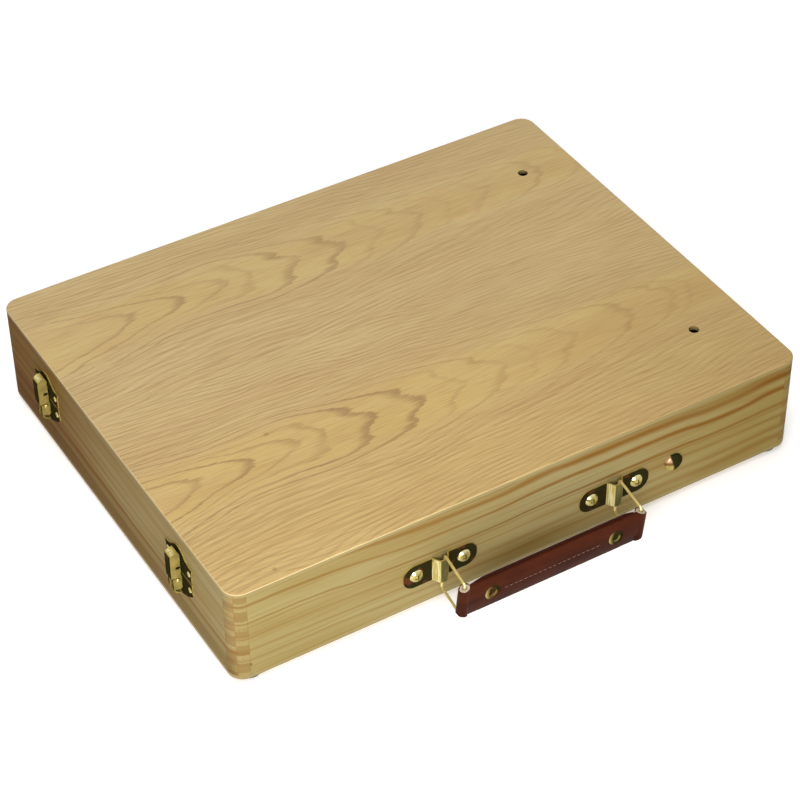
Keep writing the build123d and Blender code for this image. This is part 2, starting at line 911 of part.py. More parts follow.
def stay_bolt():
    end = lower_bar_depth + bar_thickness + stay_washer + nut_height + bolt_tail
    place = front_face.location * Pos(bolt_x, bolt_z, 0)
    head = disc(bolt_head_radius, 0, bolt_head_edge)
    head += domed_head(bolt_head_radius, bolt_head_rise - bolt_head_edge, bolt_head_edge)
    return place * (head + disc(bolt_radius, -wall - end, 0))


def stay_washers():
    base, elbow, lid = stay_points()
    outer = lower_bar_depth + bar_thickness
    washers = []
    for near, far in ((0, lower_bar_depth), (outer, outer + stay_washer)):
        ring = pin_between(base, stay_washer_radius, near, far)
        washers.append(ring - pin_between(base, bolt_radius + screw_play, near, far))
    return washers


def wing_nut():
    base, elbow, lid = stay_points()
    near = lower_bar_depth + bar_thickness + stay_washer + stay_layer_gap
    body = Pos(0, 0, -nut_height / 2) * Cone(nut_radius - 1, nut_radius, nut_height)
    wings = Polygon(
        (-wing_span, -nut_height - wing_rise),
        (-wing_span + 4.5, -nut_height - wing_rise),
        (-2.0, -nut_height + 0.5),
        (2.0, -nut_height + 0.5),
        (wing_span - 4.5, -nut_height - wing_rise),
        (wing_span, -nut_height - wing_rise),
        (wing_span, -nut_height - 1.0),
        (nut_radius - 1.0, -1.5),
        (-nut_radius + 1.0, -1.5),
        (-wing_span, -nut_height - 1.0),
        align=None,
    )
    wing = extrude(Plane.XZ * wings, wing_thickness / 2, both=True)
    nut = body + wing - Cylinder(bolt_radius + running_play, 8 * nut_height)
    return on(layer(near), Pos(base[0], base[1], 0) * nut)


# ---- rails with the holes that their hardware needs ----

def base_front_rail():
    rail = long_rail(-1, base_z, split_z, base_bands()) - bracket_screw_holes()
    return rail - front_face.location * Pos(bolt_x, bolt_z, 0) * disc(bolt_radius + screw_play, -wall, 0)


def lid_front_rail():
    base, elbow, lid = stay_points()
    rail = long_rail(-1, split_z, lid_rail_top, lid_bands())
    return rail - pin_between(lid, stay_pin_radius + screw_play, -stay_screw_length, 0)


def base_left_rail():
    return end_rail(-1, base_z, split_z, base_bands()) - latch_nail_holes(-1)


def lid_left_rail():
    return end_rail(-1, split_z, lid_rail_top, lid_bands()) - latch_nail_holes(1)


def base_right_rail():
    return end_rail(1, base_z, split_z, base_bands()) - hinge_screw_holes(False)


def lid_right_rail():
    return end_rail(1, split_z, lid_rail_top, lid_bands()) - hinge_screw_holes(True)


def pieces():
    """Every node's name and its solids."""
    nodes = {
        "lid_panel": lid_panel(),
        "lid_front_rail": lid_front_rail(),
        "lid_back_rail": long_rail(1, split_z, lid_rail_top, lid_bands()),
        "lid_left_rail": lid_left_rail(),
        "lid_right_rail": lid_right_rail(),
        "base_front_rail": base_front_rail(),
        "base_back_rail": long_rail(1, base_z, split_z, base_bands()),
        "base_left_rail": base_left_rail(),
        "base_right_rail": base_right_rail(),
        "bottom_panel": bottom_panel(),
        "rubber_feet": rubber_feet(),
        "trough_divider": trough_divider(),
        "cross_dividers": cross_dividers(),
        "palette": palette(),
        "base_hinge_screws": hinge_screws(False),
        "lid_hinge_screws": hinge_screws(True),
        "latch_base_nails": latch_nails(-1),
        "latch_catch_nails": latch_nails(1),
        "bracket_screws": bracket_screws(),
        "grip_cover": grip_cover(),
        "grip_core": grip_core(),
        "grip_eyelets": grip_eyelets(),
        "stay_bolt": stay_bolt(),
        "stay_washers": stay_washers(),
        "stay_lower_bar": stay_lower_bar(),
        "stay_upper_bar": stay_upper_bar(),
        "stay_elbow_rivet": stay_elbow_rivet(),
        "stay_lid_spacer": stay_lid_spacer(),
        "stay_lid_screw": stay_lid_screw(),
        "wing_nut": wing_nut(),
    }
    for name, offset in (("front", -hinge_offset), ("back", hinge_offset)):
        nodes[name + "_hinge_base_leaf"] = hinge_place(offset) * hinge_leaf(False)
        nodes[name + "_hinge_lid_leaf"] = hinge_place(offset) * hinge_leaf(True)
        nodes[name + "_hinge_pin"] = hinge_place(offset) * hinge_pin()
    for name, offset in (("front", latch_offset), ("back", -latch_offset)):
        nodes[name + "_latch_base_plate"] = latch_place(offset) * latch_base_plate()
        nodes[name + "_latch_catch"] = latch_place(offset) * latch_catch()
        nodes[name + "_latch_rivets"] = [latch_place(offset) * rivet for rivet in latch_pivot_rivets()]
        nodes[name + "_latch_lever"] = latch_place(offset) * latch_lever()
        nodes[name + "_latch_link_pin"] = latch_place(offset) * latch_link_pin()
        nodes[name + "_latch_link"] = latch_place(offset) * latch_link()
    for name, side in (("left", -1), ("right", 1)):
        nodes[name + "_bracket"] = bracket_place(side) * bracket()
        nodes[name + "_bail"] = bail(side)
    return nodes


def main():
    os.makedirs("parts", exist_ok=True)
    for name, shape in pieces().items():
        solids = shape if isinstance(shape, list) else [shape]
        export_step(Compound([solid for item in solids for solid in item.solids()]), f"parts/{name}.step")


if __name__ == "__main__":
    main()
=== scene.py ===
import math
from functools import reduce

import bpy
from mathutils import Matrix, Vector


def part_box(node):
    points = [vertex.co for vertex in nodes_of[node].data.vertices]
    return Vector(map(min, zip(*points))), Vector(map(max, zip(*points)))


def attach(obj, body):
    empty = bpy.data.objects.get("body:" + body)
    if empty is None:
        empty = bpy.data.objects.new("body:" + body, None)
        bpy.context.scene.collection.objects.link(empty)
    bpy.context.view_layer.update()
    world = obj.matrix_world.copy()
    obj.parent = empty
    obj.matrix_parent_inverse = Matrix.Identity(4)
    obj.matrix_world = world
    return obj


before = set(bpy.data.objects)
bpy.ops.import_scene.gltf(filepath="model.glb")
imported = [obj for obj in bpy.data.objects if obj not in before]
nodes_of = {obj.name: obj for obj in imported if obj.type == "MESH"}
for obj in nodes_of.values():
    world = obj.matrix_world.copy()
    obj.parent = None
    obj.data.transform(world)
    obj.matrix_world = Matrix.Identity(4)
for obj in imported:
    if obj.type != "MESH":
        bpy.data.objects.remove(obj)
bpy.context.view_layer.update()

MM = 0.001


# ---- places taken from the frame, in millimetres ----

def corners(node):
    """The low and the high corner of a node's box."""
    low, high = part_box(node)
    return Vector(low) / MM, Vector(high) / MM


panel_low, panel_high = corners("lid_panel")
bottom_low = corners("bottom_panel")[0]
front_rail_low = corners("base_front_rail")[0]
eyelet_low, eyelet_high = corners("grip_eyelets")
box_length = panel_high.x - panel_low.x
box_width = panel_high.y - panel_low.y


# ---- camera: angles in degrees, place and clipping in metres, lens and sensor in millimetres ----

view_azimuth = -30.606
view_elevation = 41.0475
view_roll = -0.6588
camera_place = (-0.61739, -1.04971, 1.07522)
camera_lens = 112.755
sensor_width = 36.0
clip_near = 0.05
clip_far = 50.0


def add_camera():
    azimuth = math.radians(view_azimuth)
    elevation = math.radians(view_elevation)
    roll = math.radians(view_roll)
    back = Vector((
        math.sin(azimuth) * math.cos(elevation),
        -math.cos(azimuth) * math.cos(elevation),
        math.sin(elevation),
    ))
    right = Vector((math.cos(azimuth), math.sin(azimuth), 0))
    up = back.cross(right)
    rolled_right = right * math.cos(roll) + up * math.sin(roll)
    rolled_up = up * math.cos(roll) - right * math.sin(roll)
    turn = Matrix((rolled_right, rolled_up, back)).transposed()
    data = bpy.data.cameras.new("camera")
    data.lens = camera_lens
    data.sensor_width = sensor_width
    data.clip_start = clip_near
    data.clip_end = clip_far
    camera = bpy.data.objects.new("camera", data)
    camera.matrix_world = Matrix.Translation(camera_place) @ turn.to_4x4()
    bpy.context.collection.objects.link(camera)
    bpy.context.scene.camera = camera


# ---- light: metres and watts ----

# Name, place, what the lamp is aimed at, width of its disc and power.
lamps = (
    ("key", (-0.42, -0.75, 0.42), (-0.02, -0.12, 0.03), 0.6, 6.8),
    ("top", (-0.25, 0.1, 2.2), (0.0, 0.0, 0.0), 2.0, 36.0),
)
white = (1.0, 1.0, 1.0, 1.0)
ambient_colour = (0.95, 0.97, 1.0, 1.0)
ambient_strength = 0.24
backdrop_strength = 1.0


def add_lamp(name, place, target, width, power):
    data = bpy.data.lights.new(name, "AREA")
    data.shape = "DISK"
    data.size = width
    data.energy = power
    aim = (Vector(target) - Vector(place)).to_track_quat("-Z", "Y")
    lamp = bpy.data.objects.new(name, data)
    lamp.matrix_world = Matrix.Translation(place) @ aim.to_matrix().to_4x4()
    bpy.context.collection.objects.link(lamp)


def seen_directly(tree):
    """1 for what is seen, reflected or looked through, 0 for the light that falls on the box."""
    path = tree.nodes.new("ShaderNodeLightPath")
    seen = path.outputs["Is Camera Ray"]
    for ray in ("Is Glossy Ray", "Is Transmission Ray"):
        either = tree.nodes.new("ShaderNodeMath")
        either.operation = "MAXIMUM"
        tree.links.new(seen, either.inputs[0])
        tree.links.new(path.outputs[ray], either.inputs[1])
        seen = either.outputs[0]
    return seen


def blend_surfaces(tree, factor, first, second, output):
    """Wire a blend of two shaders, the second where factor is 1, into an output node."""
    blend = tree.nodes.new("ShaderNodeMixShader")
    for socket, value in zip(blend.inputs, (factor, first, second)):
        tree.links.new(value, socket)
    tree.links.new(blend.outputs[0], output.inputs["Surface"])


def add_world():
    """White where it is seen, and a dim cool light on the box from all sides."""
    world = bpy.data.worlds.new("studio")
    world.use_nodes = True
    tree = world.node_tree
    tree.nodes.clear()
    output = tree.nodes.new("ShaderNodeOutputWorld")
    glows = []
    for colour, strength in ((ambient_colour, ambient_strength), (white, backdrop_strength)):
        glow = tree.nodes.new("ShaderNodeBackground")
        glow.inputs["Color"].default_value = colour
        glow.inputs["Strength"].default_value = strength
        glows.append(glow.outputs[0])
    blend_surfaces(tree, seen_directly(tree), *glows, output)
    bpy.context.scene.world = world


# ---- node materials ----
#
# Lengths are millimetres. Three kinds of rows set a material's look:
# - a pattern is noise: its seed, the size of its blobs in three directions, and its detail;
# - a ramp is a smooth step: where it starts and ends, and what it gives before and after,
#   which is 0 and 1 unless the row says otherwise;
# - a bump is the depth of a pattern's relief and its strength.

seed_step = 7.3
mix_colour_inputs = slice(6, 8)
mix_colour_output = 2

# A face looks along an axis when its normal's part in that direction is over this.
face_limit = 0.7


def tone(red, green, blue):
    """A colour given in the usual 0 to 255 display values (sRGB)."""
    def linear(value):
        value = value / 255
        return value / 12.92 if value <= 0.04045 else ((value + 0.055) / 1.055) ** 2.4
    return (linear(red), linear(green), linear(blue), 1.0)


class Shader:
    """A material with short calls for the nodes that it is wired from."""

    def __init__(self, name):
        self.material = bpy.data.materials.new(name)
        self.material.use_nodes = True
        self.tree = self.material.node_tree
        self.surface = self.tree.nodes["Principled BSDF"]
        places = self.tree.nodes.new("ShaderNodeTexCoord")
        metres = self.split(places.outputs["Object"])
        self.x, self.y, self.z = [self.math("MULTIPLY", value, 1 / MM) for value in metres]
        self.normal = self.split(places.outputs["Normal"])

    def feed(self, socket, value):
        """Link another node's output to a socket, or set the socket's own plain value."""
        if isinstance(value, bpy.types.NodeSocket):
            self.tree.links.new(value, socket)
        else:
            socket.default_value = value

    def split(self, vector):
        node = self.tree.nodes.new("ShaderNodeSeparateXYZ")
        self.feed(node.inputs[0], vector)
        return list(node.outputs)

    def math(self, operation, *values, clamp=False):
        node = self.tree.nodes.new("ShaderNodeMath")
        node.operation = operation
        node.use_clamp = clamp
        for socket, value in zip(node.inputs, values):
            self.feed(socket, value)
        return node.outputs[0]

    def fold(self, operation, values):
        """One operation taken over all values, from the left."""
        return reduce(lambda first, second: self.math(operation, first, second), values)

    def times(self, *values):
        return self.fold("MULTIPLY", values)

    def plus(self, *values):
        return self.fold("ADD", values)

    def minus(self, first, second):
        return self.math("SUBTRACT", first, second)

    def highest(self, *values):
        return self.fold("MAXIMUM", values)

    def absolute(self, value):
        return self.math("ABSOLUTE", value)

    def scaled(self, value, factor, offset):
        return self.math("MULTIPLY_ADD", value, factor, offset)

    def swing(self, noise, reach):
        """Noise as a shift to either side of 0, reach from end to end."""
        return self.scaled(noise, reach, -reach / 2)

    def repeated(self, value, step):
        """Where a value stands between two steps, from 0 to 1."""
        return self.math("FRACT", self.math("DIVIDE", value, step))

    def smooth(self, value, start, end, before=0.0, after=1.0):
        """A ramp, taken over value."""
        node = self.tree.nodes.new("ShaderNodeMapRange")
        node.interpolation_type = "SMOOTHSTEP"
        sockets = ("Value", "From Min", "From Max", "To Min", "To Max")
        for socket, part in zip(sockets, (value, start, end, before, after)):
            self.feed(node.inputs[socket], part)
        return node.outputs["Result"]

    def near(self, value, middle, half_width):
        """1 at middle, falling smoothly to 0 at half_width from it."""
        away = self.absolute(self.minus(value, middle))
        return self.smooth(away, 0.0, half_width, 1.0, 0.0)

    def spot(self, places, middles, half_widths):
        """1 at a place on a face, falling smoothly to 0 around it."""
        return self.times(*map(self.near, places, middles, half_widths))

    def curve(self, value, points):
        """A smooth curve through given points, each 0 to 1 both ways."""
        node = self.tree.nodes.new("ShaderNodeFloatCurve")
        self.feed(node.inputs["Value"], value)
        line = node.mapping.curves[0]
        line.points[0].location = points[0]
        line.points[1].location = points[-1]
        for place in points[1:-1]:
            line.points.new(*place)
        node.mapping.update()
        return node.outputs[0]

    def pattern(self, row, seed=0.0, places=None):
        """Noise from a pattern row, by the point's own x, y and z or by other places."""
        own_seed, sizes, detail = row
        places = places or (self.x, self.y, self.z)
        vector = self.tree.nodes.new("ShaderNodeCombineXYZ")
        for socket, value, size in zip(vector.inputs, places, sizes):
            self.feed(socket, self.scaled(value, 1 / size, (seed + own_seed) * seed_step))
        node = self.tree.nodes.new("ShaderNodeTexNoise")
        self.feed(node.inputs["Vector"], vector.outputs[0])
        node.inputs["Scale"].default_value = 1.0
        node.inputs["Detail"].default_value = detail
        return node.outputs["Fac"]

    def mix(self, factor, first, second, blend="MIX"):
        node = self.tree.nodes.new("ShaderNodeMix")
        node.data_type = "RGBA"
        node.blend_type = blend
        first_colour, second_colour = node.inputs[mix_colour_inputs]
        self.feed(node.inputs["Factor"], factor)
        self.feed(first_colour, first)
        self.feed(second_colour, second)
        return node.outputs[mix_colour_output]

    def tint(self, factor, colour, by):
        """A colour multiplied by another one, as far as factor says."""
        return self.mix(factor, colour, by, "MULTIPLY")

    def bump(self, height, depth, strength):
        node = self.tree.nodes.new("ShaderNodeBump")
        node.inputs["Strength"].default_value = strength
        node.inputs["Distance"].default_value = depth * MM
        self.feed(node.inputs["Height"], height)
        self.feed(self.surface.inputs["Normal"], node.outputs["Normal"])

    def finish(self, colour, roughness, metallic=0.0, specular=0.5):
        sockets = ("Base Color", "Roughness", "Metallic", "Specular IOR Level")
        for socket, value in zip(sockets, (colour, roughness, metallic, specular)):
            self.feed(self.surface.inputs[socket], value)
        return self.material


# ---- the outer boards: finger-jointed pine ----

pine_light = tone(160, 148, 105)
pine_warm = tone(152, 135, 88)
pine_line = tone(128, 86, 30)
pine_end = tone(140, 117, 76)
joint_dark = tone(104, 76, 38)
nail_dark = tone(58, 44, 26)

# What the colours are multiplied by: painted shade on the faces that look to the front and left,
# where the light falls off along the box; a painted shadow of the handle on the front, also used
# to darken the left faces towards the bottom; and a warm tint on all the others.
front_dark = (0.67, 0.58, 0.32, 1.0)
left_dark = (0.43, 0.247, 0.035, 1.0)
handle_shadow_and_low_dark = (0.56, 0.44, 0.25, 1.0)
inner_tint = (0.92, 0.72, 0.5, 1.0)
inner_share = 0.55
outward_ramp = (-0.95, -0.55, 1.0, 0.0)

# Patterns along the grain, up the board and through it.
pine_warp = (0, (55.0, 16.0, 30.0), 3.0)
pine_fade = (1, (90.0, 20.0, 40.0), 2.0)
pine_streak = (2, (70.0, 0.9, 0.9), 4.0)
pine_cloud = (3, (120.0, 14.0, 30.0), 2.0)
pine_pores = (4, (3.0, 0.5, 0.5), 3.0)
pine_cloud_ramp = (0.3, 0.7)
pine_streak_ramp = (0.42, 0.8, 0.0, 0.4)
pine_pore_ramp = (0.4, 0.7, 0.0, 0.35)
pine_rough_ramp = (0.2, 0.9, 0.42, 0.56)
pine_end_share = 0.65
pine_specular = 0.01
pine_bump = (0.12, 0.5)

# Growth lines: height on the board, half width and strength.
front_lines = (
    (68.5, 1.3, 0.5), (65.2, 2.8, 1.0), (55.2, 1.9, 1.0), (41.0, 1.5, 0.9), (37.4, 1.0, 0.4),
    (28.5, 1.8, 0.5), (17.5, 1.8, 0.45), (10.0, 2.2, 0.5),
)
side_lines = (
    (66.0, 2.4, 0.8), (57.0, 1.6, 0.4), (47.5, 1.4, 0.4), (38.5, 1.4, 0.5), (30.0, 1.8, 0.55),
    (20.5, 1.8, 0.6), (14.0, 4.0, 0.95), (4.0, 2.2, 0.6),
)

# The lines bend by up to bend_height, fully at bend_middle and less above and below it. They
# widen and strengthen from one end of the board to the other, and fade in patches.
front_bends = (
    (0.0, 0.95), (0.125, 0.88), (0.2, 0.66), (0.275, 0.46), (0.35, 0.33), (0.45, 0.32),
    (0.5, 0.40), (0.62, 0.37), (0.775, 0.30), (0.855, 0.12), (0.95, 0.27), (1.0, 0.3),
)
side_bends = ((0.0, 0.4), (0.2, 0.5), (0.45, 0.42), (0.7, 0.6), (1.0, 0.52))
bend_height = 14.0
bend_middle = 52.0
bend_reach = 34.0
bend_ramp = (0.0, 1.0, 0.45, 1.0)
warp_reach = 4.0
grain_slope = {"x": 0.035, "y": 0.06}
line_thin_ramp = (0.25, 0.8, 1.2, 0.6)
line_fade_ramp = (0.3, 0.6, 0.7, 1.0)
line_strength_ramp = (0.1, 0.8, 0.72, 1.0)

# How far painted shade darkens a face, partly where the light falls off and partly the wood's
# darker tone, by the share of the box's length or width.
front_shade = (
    (0.0, 0.46), (0.1, 0.44), (0.25, 0.27), (0.42, 0.26), (0.58, 0.2), (0.75, 0.45),
    (0.92, 0.69), (1.0, 0.73),
)
left_shade = ((0.0, 0.22), (0.25, 0.36), (0.5, 0.52), (0.75, 0.8), (1.0, 1.0))
# The left faces are darker towards the bottom, in the tone of the painted shadow.
left_low_ramp = (6.0, 28.0, 0.7, 0.0)

# The front has a painted shadow of the handle on it, and a nail near its left end.
handle_shadow_middle = (-2.0, 9.0)
handle_shadow_size = (72.0, 17.0)
handle_shadow_share = 0.85
nail_place = (-190.0, 11.5)
nail_size = (1.7, 1.7)

joint_depth = 10.0
joint_pitch = 7.25
joint_slack = 0.1
joint_starts = {"base_": 9.2, "lid_": 7.7}
joint_share = 0.5
hairline_ramp = (0.06, 0.22, 1.0, 0.0)
upright_width = 0.2

# Side, direction of the grain, bends, growth lines and seed.
boards = (
    ("front", "x", front_bends, front_lines, 1.0),
    ("back", "x", front_bends, side_lines, 5.0),
    ("left", "y", side_bends, side_lines, 9.0),
    ("right", "y", side_bends, front_lines, 13.0),
)


def joint_lines(shader, start):
    """Hairlines between the fingers of the corner joints, and along their ends."""
    near_x = shader.minus(box_length / 2, shader.absolute(shader.x))
    near_y = shader.minus(box_width / 2, shader.absolute(shader.y))
    on_front = shader.math("GREATER_THAN", shader.absolute(shader.normal[1]), face_limit)
    on_side = shader.minus(1.0, on_front)
    inset = shader.plus(shader.times(near_x, on_front), shader.times(near_y, on_side))
    inside = shader.math("LESS_THAN", inset, joint_depth + joint_slack)
    part = shader.repeated(shader.minus(shader.z, start), joint_pitch)
    edge = shader.math("MINIMUM", part, shader.minus(1.0, part))
    level = shader.smooth(shader.times(edge, joint_pitch), *hairline_ramp)
    upright = shader.near(inset, joint_depth, upright_width)
    return shader.highest(shader.times(level, inside), upright)


def painted_face_shade(shader, colour):
    """Paint shade on the faces that look to the front and left by their place, where the light
    falls off, and warm the others.
    """
    on_left, on_front = [shader.smooth(part, *outward_ramp) for part in shader.normal[:2]]
    for along, size, shade, facing, dark in (
        (shader.x, box_length, front_shade, on_front, front_dark),
        (shader.y, box_width, left_shade, on_left, left_dark),
    ):
        share = shader.scaled(along, 1 / size, 0.5)
        darker = shader.times(shader.curve(share, shade), facing)
        colour = shader.tint(darker, colour, dark)
    outer = shader.highest(on_left, on_front)
    warmer = shader.scaled(outer, -inner_share, inner_share)
    return shader.tint(warmer, colour, inner_tint), on_left, on_front


def growth_lines(shader, places, share, along, bends, lines, seed):
    """The board's dark growth lines, by how much they show."""
    height, deep = places[1:]
    bend = shader.scaled(shader.curve(share, bends), bend_height, -bend_height)
    hold = shader.smooth(shader.near(height, bend_middle, bend_reach), *bend_ramp)
    warp = shader.swing(shader.pattern(pine_warp, seed, places), warp_reach)
    slope = shader.times(deep, grain_slope[along])
    grain = shader.plus(shader.minus(height, shader.times(bend, hold)), warp, slope)
    thin = shader.smooth(share, *line_thin_ramp)
    shown = []
    for middle, half_width, strength in lines:
        away = shader.times(shader.absolute(shader.minus(grain, middle)), thin)
        line = shader.smooth(away, 0.0, half_width, 1.0, 0.0)
        shown.append(shader.times(line, strength))
    fade = shader.smooth(shader.pattern(pine_fade, seed, places), *line_fade_ramp)
    strengthen = shader.smooth(share, *line_strength_ramp)
    return shader.times(shader.highest(*shown), fade, strengthen)


def pine(name, along, bends, lines, seed, start):
    """Pine board with its grain along x or y, painted shade on its outer faces, and a painted
    shadow of the handle on the base front.
    """
    shader = Shader(name)
    long, deep = (shader.x, shader.y) if along == "x" else (shader.y, shader.x)
    length = box_length if along == "x" else box_width
    end_normal = shader.normal[0 if along == "x" else 1]
    height = shader.minus(shader.z, bottom_low.z)
    share = shader.scaled(long, 1 / length, 0.5)
    places = (long, height, deep)
    streak, cloud, pores = [
        shader.pattern(row, seed, places) for row in (pine_streak, pine_cloud, pine_pores)
    ]
    colour = shader.mix(shader.smooth(cloud, *pine_cloud_ramp), pine_light, pine_warm)
    colour = shader.mix(shader.smooth(streak, *pine_streak_ramp), colour, pine_line)
    dark_lines = growth_lines(shader, places, share, along, bends, lines, seed)
    colour = shader.mix(dark_lines, colour, pine_line)
    end_face = shader.math("GREATER_THAN", shader.absolute(end_normal), face_limit)
    end_colour = shader.mix(shader.smooth(pores, *pine_pore_ramp), pine_end, pine_line)
    colour = shader.mix(shader.times(end_face, pine_end_share), colour, end_colour)
    colour, on_left, on_front = painted_face_shade(shader, colour)
    low = shader.times(shader.smooth(height, *left_low_ramp), on_left)
    colour = shader.tint(low, colour, handle_shadow_and_low_dark)
    # Painted shadow of the handle on the base front, and a nail near its left end.
    if name == "base_front_pine":
        handle_shadow = shader.spot((long, height), handle_shadow_middle, handle_shadow_size)
        handle_shadow = shader.times(handle_shadow, on_front, handle_shadow_share)
        colour = shader.tint(handle_shadow, colour, handle_shadow_and_low_dark)
        nail = shader.spot((long, height), nail_place, nail_size)
        colour = shader.mix(nail, colour, nail_dark)
    joints = shader.times(joint_lines(shader, start), joint_share)
    colour = shader.mix(joints, colour, joint_dark)
    shader.bump(streak, *pine_bump)
    roughness = shader.smooth(streak, *pine_rough_ramp)
    return shader.finish(colour, roughness, specular=pine_specular)


# ---- the veneer of lid and bottom ----

veneer_light = tone(193, 169, 120)
veneer_warm = tone(188, 161, 114)
veneer_line = tone(140, 106, 64)
veneer_ring = tone(130, 97, 70)
# The top band of the panel's edge: partly the pale edge of the veneer, partly a painted highlight
# on its rounded arris.
pale_edge_and_highlight = tone(206, 184, 134)
panel_ply = tone(152, 139, 96)

# What the colours are multiplied by toward the front, toward the front right corner, on the right
# of the panel's edge, where its painted highlight fades into painted shade, and inside the arches.
veneer_front = (0.96, 0.92, 0.78, 1.0)
veneer_far = (0.86, 0.85, 0.84, 1.0)
edge_far_shade = (0.5, 0.43, 0.29, 1.0)
heart_tint = (1.0, 0.985, 0.87, 1.0)
veneer_front_ramp = (60.0, -150.0)
veneer_far_ramp = (-20.0, 200.0)
edge_far_ramp = (-120.0, 120.0)
heart_ramp = (14.0, 30.0, 1.0, 0.0)
edge_limit = 0.5
ply_ramp = (0.7, 1.3)

veneer_patch = (3, (70.0, 16.0, 30.0), 2.0)
veneer_fibre = (4, (26.0, 0.7, 0.7), 4.0)
veneer_cloud = (5, (110.0, 20.0, 50.0), 2.0)
veneer_pores = (6, (7.0, 0.45, 0.45), 2.0)
patch_ramp = (0.3, 0.62, 0.5, 1.0)
fibre_ramp = (0.42, 0.72, 0.0, 0.34)
veneer_cloud_ramp = (0.32, 0.68)
veneer_pore_ramp = (0.6, 0.72)
veneer_pore_share = 0.16
veneer_rough_ramp = (0.2, 0.9, 0.4, 0.54)
veneer_specular = 0.14
veneer_bump = (0.1, 0.5)

# The lid's veneer is two leaves of one log, the upper one shifted against the lower.
leaf_seam = 17.5
leaf_shift = (36.0, 159.0)

# Nested arches: the line that their tips stand on, their round ends, how far their legs run
# back at each distance from that line, and what makes them uneven.
arch_middle = -60.5
arch_round = 15.0
arch_slope = 7.0
arch_ramp = (-150.0, -90.0)
upper_spread = 1.2
lower_spread = 0.95
outer_reach = 100.0
outer_back = 700.0
outer_arch = (
    (0.0, 0.0), (0.1, 0.011), (0.2, 0.026), (0.26, 0.066), (0.32, 0.112), (0.45, 0.24),
    (0.6, 0.42), (1.0, 1.0),
)
arch_drift = (0, (95.0, 60.0, 60.0), 1.0)
arch_waves = (1, (42.0, 13.0, 30.0), 3.0)
arch_jags = (2, (16.0, 0.9, 1.3), 3.0)
drift_reach = 18.0
wave_reach = 26.0
jag_reach = 11.0

# Growth rings: where each one's tip is along x, its width and its strength.
arch_tips = (
    (-167.6, 9.0, 0.85), (-132.4, 9.0, 1.0), (-104.0, 8.0, 0.6), (-84.5, 7.0, 0.55),
    (-51.5, 12.0, 1.0), (-20.0, 10.0, 0.95), (11.0, 7.0, 0.35), (41.0, 9.0, 0.6),
    (66.0, 6.0, 0.3), (94.0, 8.0, 0.45), (139.0, 8.0, 0.75), (173.0, 8.0, 0.5),
    (187.0, 6.0, 0.4),
)
ring_soft = 0.2
ring_edge = (-0.2, 1.6)
ring_share = 0.6
ring_away_ramp = (26.0, 60.0, 1.0, 0.5)
ring_far_ramp = (-10.0, 60.0, 1.0, 0.74)
ring_back_ramp = (-30.0, 40.0, 1.0, 0.78)

# Legs of the rings whose tips lie beyond the panel.
leg_step = 38.0
leg_tip = 36.0
leg_width = 18.0
leg_ramp = (24.0, 40.0, 0.0, 0.5)

# Fine growth lines beside the arches.
line_step = 3.3
line_sway = (7, (190.0, 12.0, 30.0), 2.0)
line_breaks = (8, (38.0, 3.0, 3.0), 2.0)
sway_reach = 8.0
line_rise = (0.45, 0.8)
line_fall = (0.8, 1.0, 1.0, 0.0)
break_ramp = (0.36, 0.6, 0.25, 1.0)
line_away_ramp = (18.0, 34.0, 0.06, 0.4)
line_far_ramp = (-80.0, 120.0, 1.0, 0.6)

# Small dark spots: x, y and radius.
spots = ((-116.0, -44.0, 2.4), (-167.0, -147.0, 2.2))
spot_share = 0.7


def arch_field(shader, places, seed):
    """Where along x the ring through a point has its tip, and how far off the tips' line it is."""
    drift, waves, jags = [
        shader.swing(shader.pattern(row, seed, places), reach)
        for row, reach in (
            (arch_drift, drift_reach), (arch_waves, wave_reach), (arch_jags, jag_reach),
        )
    ]
    x, y = places[:2]
    off = shader.plus(y, shader.minus(drift, arch_middle))
    away = shader.highest(shader.times(off, upper_spread), shader.times(off, -lower_spread))
    spread = shader.math("SQRT", shader.scaled(away, away, arch_round * arch_round))
    inner = shader.scaled(spread, arch_slope, -arch_slope * arch_round)
    outer = shader.curve(shader.math("DIVIDE", away, outer_reach, clamp=True), outer_arch)
    outer = shader.times(outer, outer_back)
    share = shader.smooth(x, *arch_ramp)
    back = shader.plus(inner, shader.times(share, shader.minus(outer, inner)))
    return shader.plus(x, back, waves, jags), away


def ring(shader, field, tip, width):
    """Latewood line: a clear edge on the outer side, fading away on the inner."""
    rise = shader.smooth(field, tip - width, tip - ring_soft * width)
    edge = shader.smooth(field, tip + ring_edge[0], tip + ring_edge[1], 1.0, 0.0)
    return shader.times(rise, edge)


def arch_rings(shader, field, away, leaf_x):
    """The rings of the arches and their legs, by how much they show."""
    tips = [
        shader.times(ring(shader, field, tip, width), strength)
        for tip, width, strength in arch_tips
    ]
    rings = shader.times(shader.highest(*tips), shader.smooth(away, *ring_away_ramp))
    phase = shader.times(shader.repeated(field, leg_step), leg_step)
    legs = ring(shader, phase, leg_tip, leg_width)
    legs = shader.times(legs, shader.smooth(away, *leg_ramp))
    far = shader.smooth(leaf_x, *ring_far_ramp)
    back = shader.smooth(shader.y, *ring_back_ramp)
    return shader.times(shader.highest(rings, legs), far, back)


def fine_lines(shader, away, seed):
    """Thin broken growth lines that run beside the arches."""
    sway = shader.pattern(line_sway, seed)
    lane = shader.repeated(shader.scaled(sway, sway_reach, away), line_step)
    return shader.times(
        shader.smooth(lane, *line_rise),
        shader.smooth(lane, *line_fall),
        shader.smooth(shader.pattern(line_breaks, seed), *break_ramp),
        shader.smooth(away, *line_away_ramp),
        shader.smooth(shader.x, *line_far_ramp),
    )


